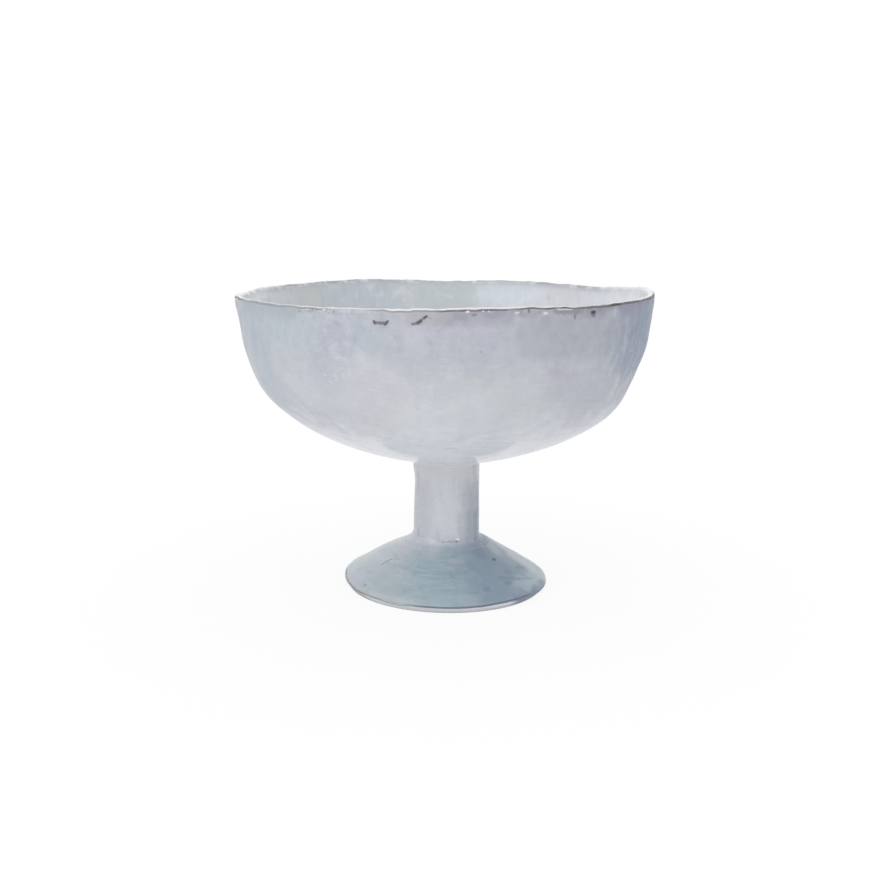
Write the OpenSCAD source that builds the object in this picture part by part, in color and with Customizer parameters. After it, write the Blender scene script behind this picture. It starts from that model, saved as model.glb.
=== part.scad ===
// Footed compote bowl: a hand-formed bowl, luted to a hollow stem and a hollow flared foot.
// Millimetres, +Z up. The origin is the centre of the rest ring, on the surface that it stands on.
// +X is the right-hand side seen from the front, and +Y points to the back.

/* [Bowl] */
// Width across the rim
rim_d = 250.6; // [226:0.2:300]
// Height of the bowl, from its seat on the stem to the mean level of the lip
bowl_h = 102.4; // [90:0.1:130]
// Width across the turn, where the shallow underside bends up into the wall
turn_d = 211.4; // [190:0.1:225]
// Height of the turn above the seat
turn_h = 37.9; // [32:0.1:46]
// Thickness of the wall at the turn
wall_t = 5; // [4:0.1:7]
// Thickness of the floor in the middle
floor_t = 7; // [5:0.1:10]
// Thickness of the lip
lip_t = 4; // [3:0.1:5]
// Distance below the lip in which the wall grows from the lip's thickness to its own
lip_blend_h = 22; // [12:1:35]
// How far the lip flares out past the wall
lip_flare = 0.6; // [0:0.1:3]
// Distance below the lip in which the flare begins
flare_h = 13; // [8:1:25]
// Height of a lump of the lip whose share is 1, above the lip's mean level
rim_wave = 1.6; // [0:0.1:4]
// Depth of the slow waves of the wall, seen from above
wall_wave = 0.5; // [0:0.1:2]
// How far the belly lies to the right of the rim's centre
belly_shift = 2.9; // [0:0.1:4]
// How far the flat seat trimmed under the bowl reaches past the fillet round the stem
seat_margin = 0.85; // [0.3:0.05:6]

/* [Stem] */
// Width of the stem
stem_d = 41.3; // [32:0.1:56]
// Length of the stem between its two layers of slip
stem_l = 52; // [40:0.1:80]
// How far the stem narrows at its waist, on its high side
stem_waist = 0.8; // [0:0.1:2]
// How far the stem's axis lies to the right of the rim's centre
stem_shift = 0.9; // [0:0.1:3]
// Thickness of the stem's wall, round the bore that vents it through the foot
stem_wall_t = 8.65; // [5:0.05:12]

/* [Foot] */
// Width across the foot's outer edge
foot_d = 127.2; // [110:0.1:150]
// Height from the rest plane to the foot's seat for the stem
foot_h = 27; // [24:0.1:36]
// Height of the foot's outer edge above the rest plane
edge_h = 4.4; // [3.5:0.1:6]
// Size of the rounding of the outer edge
edge_round = 2.4; // [1.5:0.1:3]
// How far the rest ring, where the foot touches the surface, lies in from the outer edge
rest_inset = 3.5; // [2.5:0.1:12]
// Width of the rest ring's flat band
rest_band = 6; // [4:0.1:9]
// Thickness of the foot under its seat
foot_t = 6; // [5:0.1:8]
// How far the foot is out of round, at its outer edge
foot_oval = 1.9; // [0:0.1:3]
// How far the foot's outer edge rises on its high side
edge_tilt = 0.9; // [0:0.1:2]
// How much fuller the foot's flank is on its high side
flank_fill = 2; // [0:0.1:4]

/* [Slip joints] */
// Thickness of each layer of slip
slip_t = 1; // [0.6:0.1:2]
// Reach of the upper fillet, out along the bowl and down the stem
upper_fillet = 2.5; // [1.5:0.1:6]
// Reach of the lower fillet out from the stem, which is also the margin of the foot's flat seat
lower_fillet = 6.65; // [4:0.05:10]
// Height of the lower fillet above the layer of slip, on its low side
lower_fillet_h = 3.8; // [3:0.1:7]
// How much higher the lower fillet is smeared up the stem on its high side
lower_fillet_rise = 1.8; // [0:0.1:4]
// Thickness of each fillet at the edge where it fades into the stem
feather_t = 0.4; // [0.3:0.1:1]

/* [Hidden] */

clay_white = "#c3c8cf";
clay_blue = "#9fb0b9";
slip_white = "#cfd3d8";

// Facets round each form
bowl_facets = 80;
foot_facets = 64;
stem_facets = 48;
bore_facets = 96;

// Steps along each curve
under_steps = 10;
wall_steps = 9;
lip_steps = 6;
floor_steps = 3;
foot_steps = 9;
edge_steps = 4;
hollow_steps = 8;
fillet_steps = 5;
stem_steps = 8;

// How far a cut runs past what it cuts
overrun = 1;

rim_r = rim_d / 2;
turn_r = turn_d / 2;
stem_r = stem_d / 2;
bore_r = stem_r - stem_wall_t;
bowl_seat_r = stem_r + upper_fillet + seat_margin;
foot_seat_r = stem_r + lower_fillet;
foot_r = foot_d / 2;
rest_outer_r = foot_r - rest_inset;
rest_inner_r = rest_outer_r - rest_band;
lip_r = lip_t / 2;

// The pieces stack on each other from the rest plane up
stem_z = foot_h + slip_t;
bowl_z = stem_z + stem_l + slip_t;

// Directions of the bowl's outline: leaving the seat, at the turn and at the lip
seat_angle = 12.4;
turn_angle = 48.4;
lip_angle = 90;
// Handles of the outline's two curves, as shares of the underside's width, the turn's height
// and the height of the wall above the turn
seat_handle_share = 0.53;
turn_below_share = 0.57;
turn_above_share = 0.25;
lip_handle_share = 0.34;
// Heights between which the belly's shift fades out, as shares of the bowl's height
belly_shift_shares = [0.26, 0.5];
// Height from which the lip's waves reach down, as a share of the bowl's height
wave_start_share = 0.3;
// Lumps and dips of the lip: direction and spread in degrees, and height as a share of rim_wave
rim_lump_shares = [
    [121, 36, 0.95],
    [89, 18, -0.65],
    [38, 32, -0.9],
    [170, 26, -0.85],
    [163, 15, 0.75],
    [2, 34, 1.3],
    [-122, 44, -0.5],
    [-52, 16, -0.45],
    [-75, 20, 0.2],
];
// Plan of the wall's waves: lobes, direction in degrees, and share of wall_wave
wall_lobe_shares = [
    [2, 35, 0.6],
    [4, 10, 0.4],
];

// The height of the stem's waist as a share of the stem, and how far the stem is straight at the
// bottom and at the top
waist_share = 0.76;
straight_shares = [0.3, 0.07];

// Directions of the foot's longest width, and of the high side of the foot and stem
oval_direction = 150;
high_direction = 180;
// Where the flank is fullest, and where that ends, as shares of the way from the seat to the edge
flank_fill_shares = [0.34, 0.85];
// Slope of the foot's top, at the seat and at the outer edge
foot_seat_angle = -31;
foot_edge_angle = -33;
// Handles of the foot's top, as shares of its width, and the points that round its outer edge,
// as shares of edge_round from the outermost point
foot_handle_shares = [0.3, 0.36];
edge_top_share = [-1, 1.05];
edge_over_share = [-0.15, 0.5];
edge_under_share = [0.05, -0.45];
edge_end_share = [-0.55, -0.75];
// Handles of the hollow's curve, as shares of its radius and its height
hollow_rise_share = [0.93, 0.3];
hollow_crown_share = [0.62, 1];
// Handles of a fillet's curve, as shares of its reach and its height
fillet_foot_share = 0.55;
fillet_stem_share = 0.75;

function smooth(t) = t <= 0 ? 0 : t >= 1 ? 1 : t * t * (3 - 2 * t);
function mix(a, b, t) = a + (b - a) * t;
function heading(angle) = [cos(angle), sin(angle)];
function left_of(v) = [-v[1], v[0]] / norm(v);
function total(values) = len(values) == 0 ? 0 : values * [for (v = values) 1];

// A point of the cubic curve with these four control points, and the curve's direction there
function on_curve(c, t) =
    c[0] * pow(1 - t, 3) + c[1] * 3 * t * pow(1 - t, 2) + c[2] * 3 * t * t * (1 - t) + c[3] * pow(t, 3);
function along_curve(c, t) =
    (c[1] - c[0]) * pow(1 - t, 2) + (c[2] - c[1]) * 2 * t * (1 - t) + (c[3] - c[2]) * t * t;

// A bump of height 1 at direction 0, which fades to nothing at the spread
function bump(angle, spread) =
    let (off = abs((angle % 360 + 540) % 360 - 180))
    off < spread ? (1 + cos(180 * off / spread)) / 2 : 0;

// A closed solid from an outline that starts and ends on the axis. The outline's points are
// [radius, height], and placed(point, angle) gives the place of a point at a direction.
module turned_by_hand(outline, facets, placed) {
    rings = len(outline) - 2;
    last = 1 + rings * facets;
    points = [
        placed(outline[0], 0),
        for (i = [1 : rings]) for (k = [0 : facets - 1]) placed(outline[i], 360 * k / facets),
        placed(outline[rings + 1], 0),
    ];
    function at(i, k) = 1 + i * facets + k % facets;
    faces = [
        for (k = [0 : facets - 1]) [0, at(0, k), at(0, k + 1)],
        for (i = [0 : rings - 2]) for (k = [0 : facets - 1]) each [
            [at(i, k), at(i + 1, k), at(i + 1, k + 1)],
            [at(i, k), at(i + 1, k + 1), at(i, k + 1)],
        ],
        for (k = [0 : facets - 1]) [last, at(rings - 1, k + 1), at(rings - 1, k)],
    ];
    polyhedron(points, faces, convexity = 6);
}

module bore(from_z, to_z) {
    translate([stem_shift, 0, from_z - overrun])
        cylinder(h = to_z - from_z + 2 * overrun, r = bore_r, $fn = bore_facets);
}

// The bowl's outline, with heights above its seat
turn_point = [turn_r, turn_h];
lip_point = [rim_r - lip_flare, bowl_h - lip_r];
wall_h = lip_point[1] - turn_h;
under_curve = [
    [bowl_seat_r, 0],
    [bowl_seat_r, 0] + heading(seat_angle) * seat_handle_share * (turn_r - bowl_seat_r),
    turn_point - heading(turn_angle) * turn_below_share * turn_h,
    turn_point,
];
wall_curve = [
    turn_point,
    turn_point + heading(turn_angle) * turn_above_share * wall_h,
    lip_point - heading(lip_angle) * lip_handle_share * wall_h,
    lip_point,
];

// Thickness at the edge of the seat, for a floor that is level in the middle
floor_edge_t = (floor_t + bowl_seat_r * tan(seat_angle) / 2)
    / (cos(seat_angle) + sin(seat_angle) * tan(seat_angle) / 2);
function wall_thickness(z) = mix(wall_t, lip_t, smooth((z - lip_point[1] + lip_blend_h) / lip_blend_h));
function under_inside(t) =
    on_curve(under_curve, t)
    + left_of(along_curve(under_curve, t)) * mix(floor_edge_t, wall_t, smooth(t));
function wall_inside(t) =
    let (p = on_curve(wall_curve, t))
    p + left_of(along_curve(wall_curve, t)) * wall_thickness(p[1]);
floor_edge = under_inside(0);

bowl_outline = [
    [0, 0],
    for (i = [0 : under_steps]) on_curve(under_curve, i / under_steps),
    for (i = [1 : wall_steps]) on_curve(wall_curve, i / wall_steps),
    for (i = [1 : lip_steps - 1]) lip_point - [lip_r, 0] + heading(180 * i / lip_steps) * lip_r,
    for (i = [wall_steps : -1 : 1]) wall_inside(i / wall_steps),
    for (i = [under_steps : -1 : 0]) under_inside(i / under_steps),
    for (i = [floor_steps - 1 : -1 : 1])
        let (s = i / floor_steps) [floor_edge[0] * s, mix(floor_t, floor_edge[1], s * s)],
    [0, floor_t],
];

function rim_lift(angle) =
    rim_wave * total([for (lump = rim_lump_shares) lump[2] * bump(angle - lump[0], lump[1])]);
function wall_push(angle) =
    wall_wave * total([for (lobe = wall_lobe_shares) lobe[2] * cos(lobe[0] * (angle - lobe[1]))]);
function bowl_place(p, angle) =
    let (
        up = p[1] / bowl_h,
        shift_band = belly_shift_shares[1] - belly_shift_shares[0],
        shift = belly_shift * (1 - smooth((up - belly_shift_shares[0]) / shift_band)),
        wave = smooth((up - wave_start_share) / (1 - wave_start_share)),
        flare = lip_flare * smooth((p[1] - bowl_h + flare_h) / flare_h),
        r = p[0] + flare + wave * wall_push(angle)
    )
    [r * cos(angle) + shift, r * sin(angle), bowl_z + p[1] + wave * rim_lift(angle)];

module bowl() {
    color(clay_white) turned_by_hand(bowl_outline, bowl_facets, function(p, angle) bowl_place(p, angle));
}

// The stem is round and straight at both ends, where the fillets lie against it
function stem_narrowing(up) =
    stem_waist * (up < waist_share
        ? smooth((up - straight_shares[0]) / (waist_share - straight_shares[0]))
        : smooth((1 - straight_shares[1] - up) / (1 - straight_shares[1] - waist_share)));
stem_outline = [
    [0, 0],
    [stem_r, 0],
    for (i = [0 : stem_steps])
        [stem_r, stem_l * mix(straight_shares[0], 1 - straight_shares[1], i / stem_steps)],
    [stem_r, stem_l],
    [0, stem_l],
];

// How much of the unevenness that belongs to the high side there is at a direction, from 0 to 1
function high_side(angle) = (1 + cos(angle - high_direction)) / 2;
function stem_place(r, z, angle) = [r * cos(angle) + stem_shift, r * sin(angle), z];
function waisted_place(p, angle) =
    let (narrowing = p[0] < stem_r ? 0 : stem_narrowing(p[1] / stem_l) * high_side(angle))
    stem_place(p[0] - narrowing, stem_z + p[1], angle);

module stem() {
    color(clay_white) difference() {
        turned_by_hand(stem_outline, stem_facets, function(p, angle) waisted_place(p, angle));
        bore(stem_z, stem_z + stem_l);
    }
}

// A layer of slip with its fillet. It lies on its seat at height 0, and the fillet rises round the stem.
function slip_outline(seat_r, seat_slope, fillet_h) =
    let (
        reach = seat_r - stem_r,
        top = [stem_r + feather_t, slip_t + fillet_h],
        curve = [
            [seat_r, 0],
            [seat_r, 0] + heading(seat_slope) * fillet_foot_share * reach,
            top - [0, fillet_stem_share * top[1]],
            top,
        ]
    )
    [
        [0, 0],
        for (i = [0 : fillet_steps]) on_curve(curve, i / fillet_steps),
        [stem_r, top[1]],
        [stem_r, slip_t],
        [0, slip_t],
    ];

// The upper joint hangs from the bowl's seat, upside down
module upper_slip_joint() {
    color(slip_white) difference() {
        translate([0, 0, bowl_z]) mirror([0, 0, 1])
            turned_by_hand(slip_outline(stem_r + upper_fillet, 180 - seat_angle, upper_fillet),
                stem_facets, function(p, angle) stem_place(p[0], p[1], angle));
        bore(bowl_z - slip_t, bowl_z);
    }
}

// The lower joint stands on the foot's seat, and is smeared further up the stem on the high side
function lower_slip_place(p, angle) =
    let (
        above = max(0, p[1] - slip_t) / lower_fillet_h,
        z = foot_h + p[1] + lower_fillet_rise * above * high_side(angle)
    )
    stem_place(p[0], z, angle);

module lower_slip_joint() {
    color(slip_white) difference() {
        turned_by_hand(slip_outline(foot_seat_r, 180 + foot_seat_angle, lower_fillet_h),
            stem_facets, function(p, angle) lower_slip_place(p, angle));
        bore(foot_h, foot_h + slip_t);
    }
}

// The foot's outline, from the seat out to the edge, under it to the rest ring and up the hollow
edge_point = [foot_r, edge_h];
foot_top_end = edge_point + edge_top_share * edge_round;
foot_top_w = foot_top_end[0] - foot_seat_r;
foot_curve = [
    [foot_seat_r, foot_h],
    [foot_seat_r, foot_h] + heading(foot_seat_angle) * foot_handle_shares[0] * foot_top_w,
    foot_top_end - heading(foot_edge_angle) * foot_handle_shares[1] * foot_top_w,
    foot_top_end,
];
edge_curve = [
    foot_top_end,
    edge_point + edge_over_share * edge_round,
    edge_point + edge_under_share * edge_round,
    edge_point + edge_end_share * edge_round,
];
hollow_h = foot_h - foot_t;
hollow_curve = [
    [rest_inner_r, 0],
    [rest_inner_r * hollow_rise_share[0], hollow_h * hollow_rise_share[1]],
    [rest_inner_r * hollow_crown_share[0], hollow_h * hollow_crown_share[1]],
    [bore_r - overrun, hollow_h],
];

// The line from a point through another at height 0, down to where it is one overrun below
function run_below(from, ground) = ground + (ground - from) * overrun / from[1];
foot_outline = [
    [0, hollow_h],
    for (i = [hollow_steps : -1 : 1]) on_curve(hollow_curve, i / hollow_steps),
    run_below(on_curve(hollow_curve, 1 / hollow_steps), [rest_inner_r, 0]),
    run_below(on_curve(edge_curve, 1), [rest_outer_r, 0]),
    for (i = [edge_steps : -1 : 1]) on_curve(edge_curve, i / edge_steps),
    for (i = [foot_steps : -1 : 0]) on_curve(foot_curve, i / foot_steps),
    [0, foot_h],
];
function foot_place(p, angle) =
    let (
        out = max(0, p[0] - foot_seat_r) / (foot_r - foot_seat_r),
        fill_band = flank_fill_shares[1] - flank_fill_shares[0],
        filled = smooth(out / flank_fill_shares[0]) * (1 - smooth((out - flank_fill_shares[0]) / fill_band)),
        fill = flank_fill * high_side(angle) * filled,
        r = p[0] + foot_oval * out * cos(2 * (angle - oval_direction)) + fill,
        rise = edge_tilt * out * cos(angle - high_direction) * smooth(p[1] / edge_h)
    )
    [r * cos(angle) + stem_shift * max(0, 1 - out), r * sin(angle), p[1] + rise];

module foot() {
    color(clay_blue) difference() {
        turned_by_hand(foot_outline, foot_facets, function(p, angle) foot_place(p, angle));
        bore(hollow_h, foot_h);
        translate([-foot_d, -foot_d, -2 * overrun]) cube([2 * foot_d, 2 * foot_d, 2 * overrun]);
    }
}

bowl();
upper_slip_joint();
stem();
lower_slip_joint();
foot();
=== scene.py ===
# %% [markdown]
# # A footed compote bowl
#
# The real bowl is made by hand from dark clay, in parts: a wide bowl, a hollow stem and a flared
# foot, stuck together with wet clay called slip, and then dipped in a milky glaze.
#
# The packed model is loaded first. It fixes where each part is and how large it is, so every
# piece made here is made in its place, in metres, and nothing has to be fitted by eye.

# %% Load the frame
import math

import bmesh
import bpy
from mathutils import Matrix, Vector, noise


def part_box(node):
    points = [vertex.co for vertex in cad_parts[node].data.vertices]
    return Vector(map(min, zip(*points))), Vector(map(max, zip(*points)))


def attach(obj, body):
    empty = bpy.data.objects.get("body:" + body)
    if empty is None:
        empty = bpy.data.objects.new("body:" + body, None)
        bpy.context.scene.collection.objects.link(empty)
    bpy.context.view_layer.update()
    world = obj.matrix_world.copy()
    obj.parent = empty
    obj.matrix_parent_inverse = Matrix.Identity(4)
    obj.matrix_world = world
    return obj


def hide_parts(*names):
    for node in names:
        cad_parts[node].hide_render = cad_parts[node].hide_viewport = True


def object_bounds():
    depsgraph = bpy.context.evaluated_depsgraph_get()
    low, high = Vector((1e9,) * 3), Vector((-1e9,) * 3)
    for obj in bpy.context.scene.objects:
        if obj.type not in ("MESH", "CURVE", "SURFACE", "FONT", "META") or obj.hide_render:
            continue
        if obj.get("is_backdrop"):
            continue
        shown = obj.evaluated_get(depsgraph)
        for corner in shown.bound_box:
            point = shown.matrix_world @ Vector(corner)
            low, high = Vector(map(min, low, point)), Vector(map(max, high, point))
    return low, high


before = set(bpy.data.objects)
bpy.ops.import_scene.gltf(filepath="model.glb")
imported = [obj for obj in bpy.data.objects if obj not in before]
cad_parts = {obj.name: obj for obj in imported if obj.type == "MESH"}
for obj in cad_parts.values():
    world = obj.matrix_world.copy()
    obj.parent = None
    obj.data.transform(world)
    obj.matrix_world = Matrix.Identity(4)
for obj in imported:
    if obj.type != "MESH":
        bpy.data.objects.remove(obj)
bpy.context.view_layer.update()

# %% [markdown]
# ## The curves of the outlines
#
# A potter's profile is a few long curves. Each could be drawn point by point, but a cubic curve
# with four control points holds the same line in four pairs of numbers, and its handles say in
# which direction it leaves and arrives. Outlines are pairs of radius and height in millimetres.

# %% Curves and small helpers
MM = 0.001


def smooth(share):
    share = min(1, max(0, share))
    return share * share * (3 - 2 * share)


def mix(a, b, share):
    return a + (b - a) * share


def heading(degrees):
    return Vector((math.cos(math.radians(degrees)), math.sin(math.radians(degrees))))


def cubic(points, share):
    a, b, c, d = (Vector(p) for p in points)
    back = 1 - share
    return a * back**3 + b * 3 * share * back**2 + c * 3 * share**2 * back + d * share**3


def cubic_direction(points, share):
    a, b, c, d = (Vector(p) for p in points)
    back = 1 - share
    return ((b - a) * back**2 + (c - b) * 2 * share * back + (d - c) * share**2).normalized()


def left_of(direction):
    return Vector((-direction.y, direction.x))


def bump(degrees, spread):
    """A bump of height 1 at direction 0, which fades to nothing at the spread."""
    off = abs((degrees + 180) % 360 - 180)
    return (1 + math.cos(math.pi * off / spread)) / 2 if off < spread else 0


print("a cubic curve's middle:", cubic([(0, 0), (1, 0), (2, 1), (2, 2)], 0.5))

# %% [markdown]
# ## Turning an outline into clay
#
# A wheel-thrown form is an outline turned round an axis. The screw modifier does that too, but
# the spin operator leaves real vertices that the next step can move one by one, as a potter's
# fingers do. Each point of the outline carries its distance along the outline from one chosen
# point, the lip's crest or the foot's edge. The spin copies that number with the point, and the
# glaze reads it later, because glaze runs thin at just those edges.


# %% Spin an outline and let a hand shape it
SECTORS, CREASE = 16, math.radians(40)
# In millimetres: points nearer than WELD become one, and within ON_AXIS a point has no direction
WELD, ON_AXIS = 0.0005, 0.001


def run_along(outline, crest):
    """The distance of each point along the outline from the crest, before it below zero."""
    lengths = [0]
    for before, after in zip(outline, outline[1:]):
        lengths.append(lengths[-1] + (after - before).length)
    return [length - lengths[crest] for length in lengths]


def sort_faces(form):
    """A spin makes its faces in a new order at each run, so they are sorted by their corners."""
    form.verts.index_update()
    count = len(form.verts)

    def rank(face):
        corners = sorted(vert.index for vert in face.verts)
        return (corners[0] * count + corners[1]) * count + corners[-1]

    form.faces.sort(key=rank)


def turned(name, outline, facets, shaped, crest=0, closed=False):
    """A piece spun from an outline. shaped(radius, height, direction, run) places each point."""
    form = bmesh.new()
    run_layer = form.verts.layers.float.new("run")
    corners = []
    for (radius, height), run in zip(outline, run_along(outline, crest)):
        corner = form.verts.new((radius, 0, height))
        corner[run_layer] = run
        corners.append(corner)
    edges = [form.edges.new(pair) for pair in zip(corners, corners[1:])]
    if closed:
        edges.append(form.edges.new((corners[-1], corners[0])))
    # One sector is spun in small steps, and then repeated, which is much quicker than one long spin
    about = {"cent": (0, 0, 0), "axis": (0, 0, 1), "dvec": (0, 0, 0)}
    sector_angle = 2 * math.pi / SECTORS
    bmesh.ops.spin(form, geom=corners + edges, angle=sector_angle, steps=facets // SECTORS, **about)
    sector = form.verts[:] + form.edges[:] + form.faces[:]
    bmesh.ops.spin(form, geom=sector, angle=2 * math.pi - sector_angle, steps=SECTORS - 1,
                   use_duplicate=True, **about)
    bmesh.ops.remove_doubles(form, verts=form.verts, dist=WELD)
    sort_faces(form)
    for vert in form.verts:
        radius = math.hypot(vert.co.x, vert.co.y)
        degrees = math.degrees(math.atan2(vert.co.y, vert.co.x)) if radius > ON_AXIS else 0
        vert.co = shaped(radius, vert.co.z, degrees, vert[run_layer]) * MM
    # Only now do all faces turn outwards, because a piece that is shaped upside down is mirrored
    bmesh.ops.recalc_face_normals(form, faces=form.faces)
    for face in form.faces:
        face.smooth = True
    # Where the outline turns a corner the shading breaks too, as on a cut edge of clay
    for edge in form.edges:
        edge.smooth = edge.calc_face_angle(0) < CREASE
    open_edges = sum(len(edge.link_faces) != 2 for edge in form.edges)
    mesh = bpy.data.meshes.new(name)
    form.to_mesh(mesh)
    form.free()
    piece = bpy.data.objects.new(name, mesh)
    bpy.context.scene.collection.objects.link(piece)
    triangles = sum(len(face.vertices) - 2 for face in mesh.polygons)
    print(f"{name}: {len(outline)} points turned in {facets} steps, {triangles} triangles,",
          f"{open_edges} open edges")
    return piece


# %% [markdown]
# ## Where fingers touched the clay
#
# Hand-formed clay has slow waves, and small lumps where it was pinched. A texture could fake
# them, but the lip shows them in its outline against the background, so the vertices move.
# Noise from a fixed formula gives the same lumps on every run.


# %% Lumps from a fixed noise
# Blender's noise has lumps about 1.6 units wide, and each seed reads it at another place
NOISE_WIDTH, SEED_STEPS = 1.6, (17.3, 5.7, 9.1)


def lump(radius, height, degrees, size, seed):
    """A smooth random value from about -1 to 1, whose lumps are about size millimetres wide."""
    angle = math.radians(degrees)
    place = Vector((radius * math.cos(angle), radius * math.sin(angle), height))
    return noise.noise(place * (NOISE_WIDTH / size) + Vector([seed * step for step in SEED_STEPS]))


print("three lumps:", [round(lump(125, 184, d, 12, 1), 3) for d in (0, 40, 80)])

# %% [markdown]
# ## The bowl
#
# The bowl is one curve for the shallow underside and one for the wall, with a thick rounded lip
# between the outside and the inside. The same curves, sizes and waves are in the part's own
# source, so the fine bowl lies on the solid one. Only finer lumps are added: those of the lip, and
# a hollow and a swelling of less than a millimetre on the walls at the left and the right. They
# stay below the lip's highest wave, inside the solid's box.

# %% How the parts stack
foot_h, slip_t, stem_l = 27.0, 1.0, 52.0
stem_z = foot_h + slip_t
bowl_z = stem_z + stem_l + slip_t
print("millimetres above the rest plane: the stem starts at", stem_z, "and the bowl at", bowl_z)

# %% The bowl's outline
rim_r, turn_r, bowl_seat_r, wall_t, lip_t, floor_t = 125.3, 105.7, 24.0, 5.0, 4.0, 7.0
bowl_h, turn_h, flare, flare_h, blend_h = 102.4, 37.9, 0.6, 13.0, 22.0
# The outline's directions in degrees at the seat, the turn and the lip, and its handles as shares
seat_angle, turn_angle, lip_angle = 12.4, 48.4, 90
seat_handle, turn_below, turn_above, lip_handle = 0.53, 0.57, 0.25, 0.34
lip_r = lip_t / 2
lip = Vector((rim_r - flare, bowl_h - lip_r))
turn = Vector((turn_r, turn_h))
wall_h = lip.y - turn_h
seat = Vector((bowl_seat_r, 0))
under_curve = [seat, seat + heading(seat_angle) * seat_handle * (turn_r - bowl_seat_r),
               turn - heading(turn_angle) * turn_below * turn_h, turn]
wall_curve = [turn, turn + heading(turn_angle) * turn_above * wall_h,
              lip - heading(lip_angle) * lip_handle * wall_h, lip]
# The floor curves down to its middle, and its edge is as thick as a smooth way up the wall needs
slope = math.tan(math.radians(seat_angle))
slanted = math.cos(math.radians(seat_angle)) * (1 + slope * slope / 2)
floor_edge_t = (floor_t + bowl_seat_r * slope / 2) / slanted


def wall_thickness(height):
    return mix(wall_t, lip_t, smooth((height - lip.y + blend_h) / blend_h))


def inside_under(share):
    return cubic(under_curve, share) + left_of(cubic_direction(under_curve, share)) * mix(
        floor_edge_t, wall_t, smooth(share))


def inside_wall(share):
    outside = cubic(wall_curve, share)
    return outside + left_of(cubic_direction(wall_curve, share)) * wall_thickness(outside.y)


UNDER, WALL, LIP, FLOOR = 42, 44, 16, 8
floor_edge = inside_under(0)
bowl_outline = [Vector((0, 0))]
bowl_outline += [cubic(under_curve, i / UNDER) for i in range(UNDER + 1)]
bowl_outline += [cubic(wall_curve, i / WALL) for i in range(1, WALL + 1)]
bowl_outline += [lip - Vector((lip_r, 0)) + heading(180 * i / LIP) * lip_r for i in range(1, LIP)]
crest_index = 1 + UNDER + WALL + LIP // 2
bowl_outline += [inside_wall(i / WALL) for i in range(WALL, 0, -1)]
bowl_outline += [inside_under(i / UNDER) for i in range(UNDER, -1, -1)]
bowl_outline += [Vector((floor_edge.x * i / FLOOR, mix(floor_t, floor_edge.y, (i / FLOOR)**2)))
                 for i in range(FLOOR - 1, 0, -1)]
bowl_outline += [Vector((0, floor_t))]
print("the lip's crest in millimetres:", [round(v, 2) for v in bowl_outline[crest_index]])

# %% The bowl's waves and lumps
# Each lump of the lip: direction and spread in degrees, and share of the wave
rim_lumps = [(121, 36, 0.95), (89, 18, -0.65), (38, 32, -0.9), (170, 26, -0.85), (163, 15, 0.75),
             (2, 34, 1.3), (-122, 44, -0.5), (-52, 16, -0.45), (-75, 20, 0.2)]
# The swelling and the hollow: direction, spread, height over the seat, reach and depth
wall_dents = [(0, 70, 70, 14, 0.8), (180, 70, 86, 15, -0.8)]
rim_wave, wall_wave, belly_shift, pinch_reach = 1.6, 0.5, 2.9, 9


def bowl_shape(radius, height, degrees, run):
    up = height / bowl_h
    wave = smooth((up - 0.3) / 0.7)
    lift = rim_wave * sum(size * bump(degrees - direction, spread) for direction, spread, size in rim_lumps)
    push = wall_wave * (0.6 * math.cos(math.radians(2 * (degrees - 35)))
                        + 0.4 * math.cos(math.radians(4 * (degrees - 10))))
    near_lip = smooth(1 - abs(run) / pinch_reach)
    pinched = 0.42 * lump(radius, 0, degrees, 12, 1) + 0.3 * lump(radius, 0, degrees, 6, 2)
    lift_fine = near_lip * (pinched - 0.35 * smooth(lift))
    push_fine = (near_lip * (0.3 * lump(radius, 0, degrees, 9, 3) - 0.25)
                 + 0.22 * smooth(up / 0.3) * (lump(radius, height, degrees, 34, 4) - 0.6))
    sides = sum(depth * bump(degrees - direction, spread) * bump(height - middle, reach)
                for direction, spread, middle, reach, depth in wall_dents)
    shift = belly_shift * (1 - smooth((up - 0.26) / 0.24))
    flared = flare * smooth((height - bowl_h + flare_h) / flare_h)
    around = radius + flared + wave * push + push_fine + sides
    turned_to = heading(degrees) * around
    return Vector((turned_to.x + shift, turned_to.y, bowl_z + height + wave * lift + lift_fine))


BOWL_FACETS, TUBE_FACETS, FOOT_FACETS = 448, 192, 320
glazed_bowl = turned("glazed_bowl", bowl_outline, BOWL_FACETS, bowl_shape, crest=crest_index)

# %% [markdown]
# ## The stem
#
# The stem is a clay tube that narrows a little at its waist, more on its left side than on its
# right. Its outline is a closed loop, because the tube has an inside wall as well.

# %% The stem's outline and waist
stem_r, bore_r, stem_shift = 20.65, 12.0, 0.9
waist, waist_share, straight_low, straight_high = 0.8, 0.76, 0.3, 0.07
STEM, BORE = 46, 12
stem_outline = [Vector((bore_r, 0))] + [Vector((stem_r, stem_l * i / STEM)) for i in range(STEM + 1)]
stem_outline += [Vector((bore_r, stem_l * (1 - i / BORE))) for i in range(BORE)]


def high_side(degrees):
    """1 on the left, where the stem is thinner and the slip is smeared higher, and 0 on the right."""
    return (1 - math.cos(math.radians(degrees))) / 2


def stem_shape(radius, height, degrees, run):
    up = height / stem_l
    if up < waist_share:
        narrowing = waist * smooth((up - straight_low) / (waist_share - straight_low))
    else:
        narrowing = waist * smooth((1 - straight_high - up) / (1 - straight_high - waist_share))
    fingers = 0.16 * smooth((up - 0.16) / 0.1) * smooth((0.92 - up) / 0.1)
    pressed = narrowing * high_side(degrees) + fingers * (lump(radius, height, degrees, 18, 5) + 0.6)
    outer = radius > (stem_r + bore_r) / 2
    turned_to = heading(degrees) * (radius - (pressed if outer else 0))
    return Vector((turned_to.x + stem_shift, turned_to.y, stem_z + height))


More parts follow.
